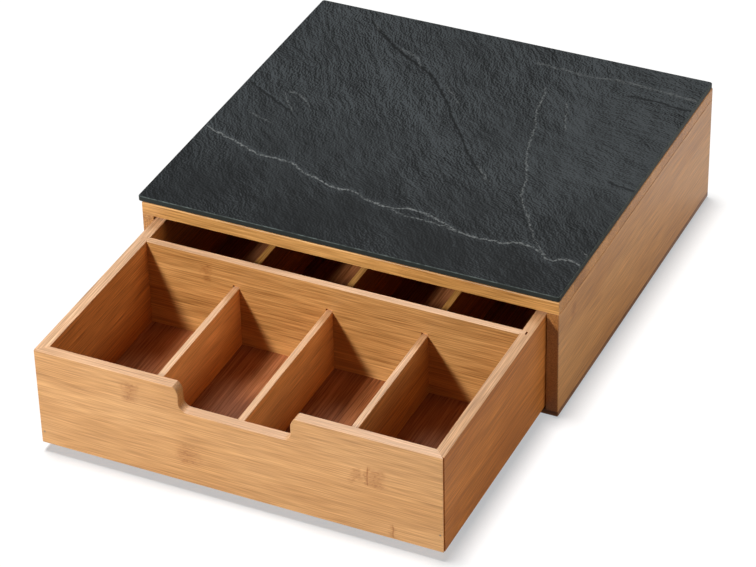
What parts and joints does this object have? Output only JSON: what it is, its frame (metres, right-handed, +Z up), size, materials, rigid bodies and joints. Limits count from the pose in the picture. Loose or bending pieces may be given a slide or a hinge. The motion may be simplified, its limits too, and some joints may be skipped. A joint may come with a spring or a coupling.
{
  "type": "tea bag drawer box",
  "caption": "Low bamboo box under a dark glass plate, with an open-fronted case and a sliding drawer split into tea bag compartments, pulled by a finger notch.",
  "frame": {"origin": "on the table under the middle of the case's footprint", "axes": "+Z up; -Y out of the front, the way the drawer opens; +X to the right seen from the front; the drawer is drawn 162 mm open"},
  "size_m": [0.3026, 0.4477, 0.0953],
  "materials": {
    "bamboo": "satin lacquered bamboo",
    "printed_glass": "polished glass printed dark on its back",
    "clear_tape": "clear tape",
    "steel": "bright wire",
    "felt": "thin brown felt",
    "foot_rubber": "matt"
  },
  "bodies": {
    "case": {"glass_plate": "printed_glass", "glass_tape": "clear_tape", "top_panel": "bamboo", "case_left_side": "bamboo", "case_right_side": "bamboo", "case_back": "bamboo", "case_floor": "bamboo", "case_brads": "steel", "glide_strips": "felt", "feet": "foot_rubber"},
    "drawer": {"drawer_front": "bamboo", "drawer_back": "bamboo", "drawer_left_side": "bamboo", "drawer_right_side": "bamboo", "drawer_floor": "bamboo", "cross_divider": "bamboo", "corner_pins": "steel", "front_divider_1": "bamboo", "front_divider_2": "bamboo", "front_divider_3": "bamboo", "rear_divider_1": "bamboo", "rear_divider_2": "bamboo", "rear_divider_3": "bamboo"}
  },
  "joints": [
    {"name": "drawer_slide", "type": "slide", "parent": "case", "child": "drawer", "axis": [0, -1, 0], "range_m": [-0.1617, 0.0583]}
  ]
}
